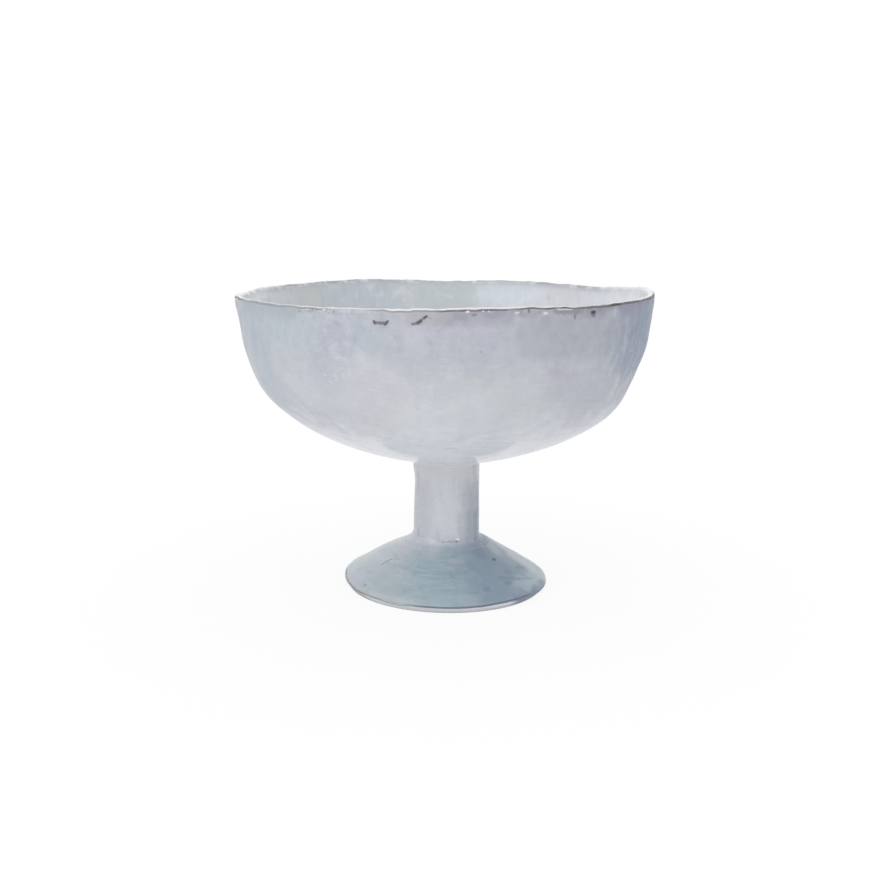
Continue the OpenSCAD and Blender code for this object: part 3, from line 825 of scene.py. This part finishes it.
# %% The lip
def glaze_the_lip(glaze, wander, fleck, clotted):
    """The stain, the crest and the line where the clay shows, of which it gives the line."""
    place, run, x, y = glaze.place, glaze.run, glaze.x, glaze.y
    # A brown and lavender stain in the first millimetres under the lip, most of it on the right
    wavy = run + 0.6 * (wander - 0.5) + 0.5 * (fleck - 0.5)
    uneven = fade(grain(place, 5, 13, detail=5, rough=0.7), 0.42, 0.60)
    stain = band(wavy, -3.2, -1.8, 2.8) * (0.35 + 0.65 * uneven)
    glaze.cover((0.22, 0.19, 0.235), stain * (0.08 + 0.34 * fade(x, -30, 25)))
    speckled = fade(grain(place, 1.2, 35, detail=1), 0.50, 0.60)
    curdled = band(wavy, -3.8, -2.0, 0.6) * band(x, -76, -56, 6) * speckled
    glaze.cover((0.26, 0.25, 0.27), curdled * 0.5)
    # The pale crest in front and at the ends, partly a painted highlight, and a thin brown line where the
    # far lip breaks
    back = fade(y + 40 * (wander - 0.5), 0, 40)
    glaze.cover(CREAM, band(wavy, -1.1, 0.9, 0.3) * (0.88 + 0.07 * fade(x, -60, -30) - 0.7 * back))
    # Whiter still along the front of the crest: a painted highlight
    front = band(x, -25, 29, 8) * fade(y, 0, -40)
    glaze.cover((0.93, 0.925, 0.91), band(wavy, -1.5, 0.9, 0.3) * front * 0.8)
    glaze.cover(CREAM, band(wavy, -3.1, -2.8, 0.3) * band(x, -58, -36, 5) * fade(fleck, 0.40, 0.56) * 0.22)
    far = run + 0.4 * (wander - 0.5) - 0.8 * fade(grain(place, 22, 33, detail=1), 0.47, 0.60)
    thinned = fade(grain(place, 9, 18, detail=2), 0.62, 0.46)
    broken = band(far, -0.7, 1.5, 0.6) * back * (0.7 + 0.3 * thinned)
    broken = broken * (0.5 + 0.25 * band(x, -100, -64, 8))
    glaze.cover((0.36, 0.35, 0.345), broken * fade(x * x, 12800, 10600))
    lumpy = fade(grain(place, 7, 28, detail=1), 0.52, 0.62)
    glaze.cover(WHITE, band(wavy, 0.8, 3.4, 0.8) * back * lumpy * 0.6)
    # Pale inside both ends of the rim: pooled glaze, and painted light over the shade inside the right end
    pooled_and_lit = band(wavy, 0.4, 9, 4) * fade(x + 24 * (wander - 0.5), 96, 112)
    pooled_and_lit = pooled_and_lit * (0.55 + 0.45 * fade(clotted, 0.42, 0.54))
    pooled_and_lit = pooled_and_lit + band(wavy, -0.4, 6.5, 4) * fade(x + 10 * (wander - 0.5), -112, -118)
    glaze.cover((0.87, 0.875, 0.885), pooled_and_lit * 0.88)
    # The line where the clay shows, dark on the right, and browner, paler and broken elsewhere
    left_tip = fade(x, -73, -86)
    mended = 0.7 * fade(grain(place, 14, 14, detail=2), 0.54, 0.68) * fade(x, 74, 56)
    mended = mended * (1 - 0.6 * left_tip) + 0.55 * band(x, -58, -40, 6) + 0.22 * band(x, 36, 50, 5)
    shown = 0.6 + 0.45 * fade(x, -14, 8) + 0.45 * left_tip
    lower = -2.2 - 0.15 * fade(x, 60, 80) - 0.3 * fade(x, 68, 90) - 0.3 * left_tip
    line = band(wavy + 0.45 * front, lower, -1.5, 0.3) * clamped(shown - mended)
    bare_clay = blend((0.185, 0.15, 0.12), (0.115, 0.108, 0.105), left_tip)
    bare_clay = blend(bare_clay, (0.075, 0.066, 0.055), fade(x, -20, 8))
    bare_clay = blend(bare_clay, (0.04, 0.036, 0.034), fade(x, 62, 84))
    glaze.cover(bare_clay, line * 0.92)
    return line


# %% The crawls, spots and blobs
def mark_the_bowl(glaze):
    """All small marks, with painted glints and shade among them. It gives the pale blobs and the crawls,
    for the relief.
    """
    place = glaze.place
    frayed = torn(place, 1.2, 0.6)
    crawled, crawl_end, pale = (marked(frayed, marks, 0.5) for marks in (crawls, crawl_ends, glints_and_blobs))
    glaze.wash(torn(place, 4, 4), smears)
    # Smudges, with painted glints and painted shade among them
    glaze.wash(frayed, smudges_and_painted_light)
    halo = marked(place, [(start, end, width + 0.7) for start, end, width in crawls[:2]], 2.2)
    glaze.cover((0.44, 0.42, 0.48), halo * 0.25)
    # The pale blobs, the first two of them painted glints
    glaze.cover((0.88, 0.87, 0.88), pale * 0.8)
    glaze.cover((0.20, 0.19, 0.20), marked(frayed, beads, 0.4) * 0.55)
    glaze.cover((0.195, 0.19, 0.21), crawled * 0.88)
    glaze.cover((0.06, 0.058, 0.062), crawl_end * 0.6)
    return pale, crawled


# %% The bowl's material
def glaze_the_bowl():
    glaze = Glaze("bowl_glaze")
    wander, fleck = grain(glaze.place, 9, 11), grain(glaze.place, 2.2, 12, detail=2)
    clotted = grain(glaze.place, 5, 19, detail=4, rough=0.6)
    outside, inside = fade(glaze.run, 0, -3), fade(glaze.run, 2, 6)
    glaze_the_wall(glaze, outside, clotted)
    glaze_the_inside(glaze, outside, inside, wander)
    line = glaze_the_lip(glaze, wander, fleck, clotted)
    pale, crawled = mark_the_bowl(glaze)
    satin = outside * fade(glaze.z, 98, 118)
    return glaze.fire(0.1 * pale - 0.08 * crawled - 0.08 * line, crawled, 0.08 + 0.3 * satin)


milky_glaze = glaze_the_bowl()

# %% [markdown]
# ## The foot's glaze
#
# The foot took less glaze. Its top is teal and slate, with brushed streaks, a few scratches and
# dark spots, and a painted shadow where the stem meets it on the right. Along the outer edge the
# glaze broke to a dark line, under it a thick pale roll gathered, and the rest ring was wiped bare
# so that the foot would not stick to the kiln's shelf.

# %% Marks on the foot
# Marks, smudges and washes are written as on the bowl
foot_marks = [
    ((-39.7, -21.5, 17.4), (-36.0, -20.9, 19.4), 0.2),
    ((-36.0, -20.9, 19.4), (-33.3, -20.5, 20.9), 0.3),
    ((-48.9, -32.6, 8.5), (-48.7, -32.6, 8.5), 0.35),
    ((36.0, -24.0, 18.4), (37.5, -23.2, 17.8), 0.15),
]
foot_smudges = [
    ((30.0, -22.8, 21.5), (30.4, -22.4, 21.2), 0.6, 1.2, (0.055, 0.085, 0.105), 0.85),
    ((-33.0, -20.6, 21.0), (-27.5, -24.3, 22.0), 0.05, 0.8, (0.24, 0.30, 0.33), 0.45),
    ((-45.6, -12.6, 16.3), (-43.8, -10.8, 17.7), 0.1, 0.9, (0.26, 0.34, 0.37), 0.4),
    ((-6.4, -41.9, 18.6), (-6.2, -41.9, 18.6), 0.2, 0.9, (0.22, 0.27, 0.31), 0.4),
    ((33.2, -37.0, 14.3), (45.1, -30.8, 11.4), 0.5, 1.8, (0.19, 0.26, 0.30), 0.5),
    ((45.1, -30.8, 11.4), (53.7, -22.4, 9.2), 0.3, 1.6, (0.22, 0.30, 0.33), 0.5),
    ((38.2, -29.4, 15.2), (39.0, -28.8, 15.1), 0.8, 2.4, (0.19, 0.26, 0.31), 0.5),
    ((45.0, -19.5, 14.6), (47.4, -15.5, 14.2), 0.6, 2.2, (0.17, 0.25, 0.27), 0.6),
]
foot_washes_and_shadow = [
    # The first two washes are a painted shadow where the stem meets the foot on its right
    ((18.7, -11.7, 30.4), (21.0, -18.1, 27.1), 1.0, 3.0, (0.25, 0.28, 0.38), 0.6),
    ((21.0, -18.1, 27.1), (24.0, -22.7, 24.0), 1.0, 3.0, (0.25, 0.29, 0.38), 0.5),
    ((26.5, -6.0, 27.5), (32.0, -12.0, 24.0), 2.0, 4.5, (0.46, 0.50, 0.56), 0.55),
    ((8.5, -25.4, 27.2), (12.5, -24.6, 27.0), 0.8, 3.0, (0.30, 0.33, 0.43), 0.5),
    ((20.2, -22.3, 25.7), (36.5, -24.5, 17.8), 1.5, 5.0, (0.235, 0.29, 0.37), 0.6),
    ((36.5, -24.5, 17.8), (39.4, -34.7, 12.7), 1.2, 4.0, (0.25, 0.31, 0.37), 0.45),
    ((23.5, -49.2, 11.0), (26.0, -48.3, 11.0), 0.3, 2.6, (0.19, 0.24, 0.33), 0.6),
    ((17.4, -53.3, 10.0), (18.4, -53.1, 10.0), 0.2, 2.2, (0.19, 0.24, 0.33), 0.5),
    ((37.5, -39.0, 11.6), (39.8, -37.4, 11.6), 0.6, 2.4, (0.17, 0.23, 0.30), 0.6),
    ((41.1, -27.5, 14.5), (48.2, -12.9, 14.1), 1.0, 3.5, (0.22, 0.30, 0.345), 0.5),
    ((60.6, -17.5, 5.6), (54.1, -35.0, 4.8), 1.2, 3.5, (0.19, 0.245, 0.32), 0.7),
    ((54.1, -35.0, 4.8), (42.3, -47.8, 5.1), 0.6, 3.0, (0.23, 0.25, 0.34), 0.6),
    ((43.4, -37.0, 10.0), (56.1, -24.5, 7.3), 0.5, 5.0, (0.41, 0.515, 0.53), 0.5),
    ((42.9, -5.3, 18.0), (53.7, -5.6, 11.5), 2.5, 6.0, (0.52, 0.54, 0.59), 0.55),
    ((53.7, -5.6, 11.5), (59.3, -15.2, 7.1), 2.0, 5.0, (0.50, 0.525, 0.56), 0.3),
    ((-39.3, -36.6, 11.3), (-30.4, -46.0, 9.8), 4.0, 7.0, (0.37, 0.45, 0.49), 0.45),
    ((-41.0, -12.0, 19.5), (-37.0, -17.0, 19.5), 2.5, 6.0, (0.57, 0.60, 0.63), 0.45),
    ((-8.0, -58.0, 6.6), (18.0, -57.0, 6.6), 1.5, 4.0, (0.43, 0.51, 0.54), 0.35),
    ((10.0, -44.0, 16.9), (9.9, -53.6, 10.9), 1.0, 5.0, (0.40, 0.49, 0.525), 0.3),
    ((14.2, -46.0, 15.1), (14.1, -53.7, 10.3), 0.4, 2.4, (0.29, 0.375, 0.405), 0.45),
    ((2.0, -33.6, 23.6), (10.0, -32.2, 23.6), 0.4, 2.0, (0.48, 0.50, 0.56), 0.4),
    ((-27.0, -24.8, 22.0), (-25.5, -14.8, 25.5), 1.5, 4.5, (0.51, 0.51, 0.59), 0.5),
    ((-43.6, -25.2, 13.9), (-33.5, -29.7, 17.3), 1.2, 4.5, (0.46, 0.465, 0.54), 0.45),
    ((-12.3, -19.4, 28.8), (-2.0, -22.0, 28.8), 0.8, 3.0, (0.39, 0.43, 0.445), 0.6),
    ((-43.8, -42.6, 5.8), (-20.6, -57.1, 5.9), 0.6, 3.0, (0.52, 0.53, 0.57), 0.5),
    ((-58.4, -10.1, 9.0), (-52.0, -22.0, 10.0), 3.0, 6.0, (0.50, 0.535, 0.60), 0.45),
]
print(len(foot_marks), "marks,", len(foot_smudges), "smudges and", len(foot_washes_and_shadow), "washes of colour")


# %% The foot's material
def glaze_the_foot():
    glaze = Glaze("foot_glaze")
    place, run, x, z = glaze.place, glaze.run, glaze.x, glaze.z
    wander = grain(place, 8, 21)
    brushed = grain(place, 11, 22, detail=4, rough=0.65, stretch=0.11)
    top = fade(run, 1.5, -2)
    glaze.cover((0.27, 0.37, 0.42), top * fade(brushed, 0.52, 0.66) * 0.45)
    glaze.cover((0.50, 0.565, 0.60), top * fade(brushed, 0.46, 0.34) * fade(x, 24, -12) * 0.4)
    frayed = torn(place, 1.2, 0.8)
    # Washes of colour, with a painted shadow among them
    glaze.wash(torn(place, 6, 6), foot_washes_and_shadow)
    glaze.wash(frayed, foot_smudges)
    scratched = marked(frayed, foot_marks, 0.4)
    glaze.cover((0.13, 0.15, 0.20), scratched * 0.75)
    # A dark line round the edge, and under it a pale roll that thins out at the sides
    level = 4.15 + 2.9 * fade(x, -54, -65) - 1.1 * band(x, -33, -26, 7) + 0.45 * fade(x, 18, 34)
    below = z + 0.6 * (wander - 0.5) - level
    edge = fade(run, -4, -2) * fade(run, 5.6, 5.0)
    rolled = blend((0.79, 0.78, 0.825), (0.40, 0.41, 0.43), fade(x, -44, -54))
    rolled = blend(rolled, (0.22, 0.27, 0.345), fade(x, 38, 45))
    glaze.cover(rolled, fade(below, -0.2, -1.0) * edge * 0.92)
    left_end = fade(x, -46, -54)
    line = band(below, -0.4 - 0.15 * left_end, 0.2 + 0.2 * left_end, 0.45) * edge
    line = line * (1 - 0.85 * band(x, -32, -24, 8) - 0.3 * band(x, -48, -38, 5)) * fade(x, 56, 48)
    line = line * (0.7 + 0.3 * fade(grain(place, 15, 23, detail=2), 0.62, 0.5))
    glaze.cover(blend((0.16, 0.15, 0.155), (0.12, 0.13, 0.19), fade(x, -30, 0)), line * 0.78)
    rest = fade(z, 0.35, 0.15)
    glaze.cover(CLAY, rest * 0.9)
    return glaze.fire(0.05 * brushed - 0.12 * scratched - 0.10 * line, rest, 0.12)


thin_glaze = glaze_the_foot()

# %% [markdown]
# ## The stem's and the joints' glaze
#
# The stem carries the bowl's milky glaze with upright streaks, and a short tick low on its left. Across
# it light and shade are painted: greyer on the left, a pale painted highlight down the front, and a
# darker right side, painted shade over slate blue streaks of glaze. Its top and the collar under the
# bowl are painted paler against the bowl's shade. The slip joints lie under the same glaze. At the
# front the lower one shows as a faint arc where the slip's edge was not smoothed, with a painted
# glint at its end.

# %% The stem's and joints' material
# Each mark: start, end, width, softness, colour, amount
joint_marks_and_painted_light = [
    ((-9.6, -18.2, 33.0), (-7.4, -19.4, 32.6), 0.8, 2.2, (0.60, 0.65, 0.70), 0.5),
    ((-4.0, -21.0, 34.2), (5.0, -21.0, 34.2), 0.8, 2.4, (0.60, 0.585, 0.65), 0.55),
    ((-8.0, -19.0, 34.6), (-5.0, -20.4, 33.0), 0.1, 0.6, (0.28, 0.29, 0.32), 0.35),
    ((-5.0, -20.4, 33.0), (-1.0, -21.4, 31.9), 0.1, 0.7, (0.24, 0.25, 0.28), 0.45),
    ((-1.0, -21.4, 31.9), (8.0, -19.9, 31.9), 0.1, 0.75, (0.22, 0.24, 0.265), 0.5),
    ((6.9, -20.3, 32.0), (8.4, -19.8, 31.9), 0.15, 0.6, (0.11, 0.12, 0.13), 0.6),
    # A painted glint at the end of the seam's arc
    ((7.1, -20.0, 33.1), (8.4, -19.4, 33.1), 0.3, 0.7, (0.90, 0.91, 0.92), 0.85),
    ((-16.7, -10.8, 37.7), (-16.8, -11.4, 33.2), 0.25, 0.6, (0.24, 0.22, 0.26), 0.6),
    ((14.5, -14.5, 48), (15.5, -14.5, 34), 0.8, 4.0, (0.38, 0.45, 0.48), 0.55),
    ((-17.5, -10.5, 73), (-18.0, -10.0, 62), 0.6, 3.0, (0.46, 0.455, 0.455), 0.4),
    ((17.5, -11.5, 77), (18.5, -10.0, 68), 0.6, 3.0, (0.46, 0.455, 0.46), 0.45),
    # These two are painted shade: down the stem's right edge and at its foot on the right
    ((18.5, -9.0, 47), (19.5, -9.0, 30), 1.0, 3.5, (0.27, 0.30, 0.39), 0.6),
    ((19.8, -7.5, 66), (20.2, -7.5, 44), 0.3, 2.2, (0.28, 0.30, 0.37), 0.5),
]


def glaze_the_clay_tube(name):
    glaze = Glaze(name)
    place, x, z = glaze.place, glaze.x, glaze.z
    upright, scuffed = grain(place, 4, 31, stretch=6), grain(place, 6, 32, detail=4, rough=0.65)
    on_stem = fade(z, 29, 36)
    # Painted shading across the stem: greyer on the left, a pale painted highlight down the front, and
    # darker on the right, painted shade over slate streaks of glaze
    glaze.cover((0.57, 0.585, 0.61), fade(x, -5, -15) * on_stem * 0.6)
    glaze.cover((0.71, 0.74, 0.78), band(x, -5, 7, 7) * on_stem * fade(upright, 0.66, 0.46) * 0.5)
    shade_side = x + 12 * (upright - 0.5) + 14 * (scuffed - 0.5)
    glaze.cover((0.46, 0.475, 0.52), fade(shade_side, 4, 14) * on_stem * 0.45)
    shaded = fade(shade_side, 11, 18) * fade(z + 16 * (scuffed - 0.5), 76, 48)
    glaze.cover((0.34, 0.385, 0.45), shaded * on_stem * 0.4)
    # The top of the stem and the collar under the bowl are painted paler: painted light against the bowl's
    # shade
    glaze.cover((0.70, 0.705, 0.71), fade(z + 10 * (scuffed - 0.5), 60, 76) * 0.8)
    glaze.cover((0.78, 0.79, 0.81), fade(z, 77.5, 80) * 0.7)
    glaze.wash(torn(place, 1.6, 1.4), joint_marks_and_painted_light)
    return glaze.fire(0.08 * scuffed, 0, 0.22)


slip_glaze = glaze_the_clay_tube("joint_glaze")
streaked_glaze = glaze_the_clay_tube("stem_glaze")

# %% [markdown]
# ## Putting the pieces on the frame
#
# Each piece stands for the solid it was shaped on, is measured against that solid's box, hides it,
# and rides on the only body there is.

# %% Glaze, slots and bodies
dressed = [
    (glazed_bowl, "bowl", milky_glaze, "bowl_glaze"),
    (upper_slip_fillet, "upper_slip_joint", slip_glaze, "joint_glaze"),
    (glazed_stem, "stem", streaked_glaze, "stem_glaze"),
    (lower_slip_fillet, "lower_slip_joint", slip_glaze, "joint_glaze"),
    (glazed_foot, "foot", thin_glaze, "foot_glaze"),
]
for piece, node, material, slot in dressed:
    piece.data.materials.append(material)
    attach(piece, "root")
    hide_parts(node)
    low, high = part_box(node)
    sides = list(zip(*(vert.co for vert in piece.data.vertices)))
    past = max(max(low[i] - min(side), max(side) - high[i]) for i, side in enumerate(sides))
    print(f"{piece.name} stands for {node}, and reaches {past / MM:.2f} mm past its box")

# %% [markdown]
# ## Floor, light and camera
#
# The photograph shows the bowl cut out on white. A white floor and a white world give that, with
# only a faint shadow left where the foot stands. To the object, floor and world are plain: an even
# sky, a large soft lamp from the front left and a low one in front, at a level where a colour
# renders about as it is written. The camera was worked out from the ellipse of the rim.

# %% The floor
# Metres: the floor's half width, and where the foot's shadow starts to fade and is gone
floor_half, shadow_near, shadow_far = 6, 0.065, 0.28
ground = bmesh.new()
bmesh.ops.create_grid(ground, x_segments=8, y_segments=8, size=floor_half)
floor_mesh = bpy.data.meshes.new("studio_floor")
ground.to_mesh(floor_mesh)
ground.free()
studio_floor = bpy.data.objects.new("studio_floor", floor_mesh)
bpy.context.scene.collection.objects.link(studio_floor)
studio_floor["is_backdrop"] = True

paper = bpy.data.materials.new("white_paper")
paper.use_nodes = True
recipe = Recipe(paper.node_tree)
ray = recipe.node("ShaderNodeLightPath")
seen, glossed = (Term(recipe, ray.socket.node.outputs[name]) for name in ("Is Camera Ray", "Is Glossy Ray"))
on_floor = recipe.node("ShaderNodeTexCoord", output="Object")
from_foot = recipe.node("ShaderNodeVectorMath", {"operation": "LENGTH"}, {0: on_floor}, output="Value")
fibres = recipe.node("ShaderNodeTexNoise", None, {"Vector": on_floor, "Scale": 240, "Detail": 2})
matt = recipe.node("ShaderNodeBsdfPrincipled", None, {
    "Base Color": blend((0.86, 0.86, 0.86), (0.88, 0.88, 0.88), fibres), "Roughness": 0.9})
white = recipe.node("ShaderNodeEmission", None, {"Color": (1, 1, 1, 1), "Strength": 1})
lit = seen * (0.90 + 0.10 * fade(from_foot, shadow_near, shadow_far)) + 0.5 * glossed
shown = recipe.node("ShaderNodeMixShader", None, {0: lit, 1: matt, 2: white})
recipe.node("ShaderNodeOutputMaterial", None, {"Surface": shown})
floor_mesh.materials.append(paper)
print("the floor is", round(studio_floor.dimensions.x, 1), "m wide")

# %% The world
world = bpy.data.worlds.new("studio_world")
world.use_nodes = True
bpy.context.scene.world = world
recipe = Recipe(world.node_tree)
path = [recipe.node("ShaderNodeLightPath", output=name)
        for name in ("Is Camera Ray", "Is Glossy Ray", "Is Transmission Ray")]
plain_sky = recipe.node("ShaderNodeBackground", None, {"Color": (0.97, 0.985, 1.0, 1), "Strength": 0.86})
white_sky = recipe.node("ShaderNodeBackground", None, {"Color": (1, 1, 1, 1), "Strength": 1})
looked_at = clamped(path[0] + path[1] + path[2])
sky = recipe.node("ShaderNodeMixShader", None, {0: looked_at, 1: plain_sky, 2: white_sky})
recipe.node("ShaderNodeOutputWorld", None, {"Surface": sky})


# %% The lamps
def lamp(name, place, aim, size, power, colour):
    light = bpy.data.lights.new(name, "AREA")
    light.shape, light.size, light.size_y = "RECTANGLE", size[0], size[1]
    light.energy, light.color = power, colour
    holder = bpy.data.objects.new(name, light)
    look = (Vector(aim) - Vector(place)).to_track_quat("-Z", "Y")
    holder.matrix_world = Matrix.Translation(place) @ look.to_matrix().to_4x4()
    bpy.context.scene.collection.objects.link(holder)
    print(f"{name}: {power} W from {(Vector(place) - Vector(aim)).length:.2f} m")


lamp("soft_box", (-0.95, -1.1, 1.05), (0, 0, 0.12), (1.1, 1.1), 4.5, (1.0, 0.985, 0.96))
lamp("low_fill", (-0.1, -1.35, 0.2), (0, 0, 0.1), (1.6, 0.3), 0.8, (1.0, 0.99, 0.975))

# %% The camera
eye = Vector((0, -0.68411, 0.2296))
lens_px, frame_px, sensor, tilt = 1121.57, 890, 36, 11.66
camera_data = bpy.data.cameras.new("photo_camera")
camera_data.sensor_width, camera_data.lens = sensor, sensor * lens_px / frame_px
camera_data.sensor_fit = "HORIZONTAL"
camera = bpy.data.objects.new("photo_camera", camera_data)
camera.location = eye
camera.rotation_euler = (math.radians(90 - tilt), 0, 0)
bpy.context.scene.collection.objects.link(camera)
bpy.context.scene.camera = camera
bpy.context.scene.view_settings.view_transform = "Standard"
print("the lens is", round(camera_data.lens, 2), "mm")

# %% [markdown]
# ## Sizes and the end
#
# The box of what was made is printed.

# %% Print the sizes
low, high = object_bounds()
print("the dressed box in millimetres:", [round(v * 1000, 2) for v in (*low, *high)])
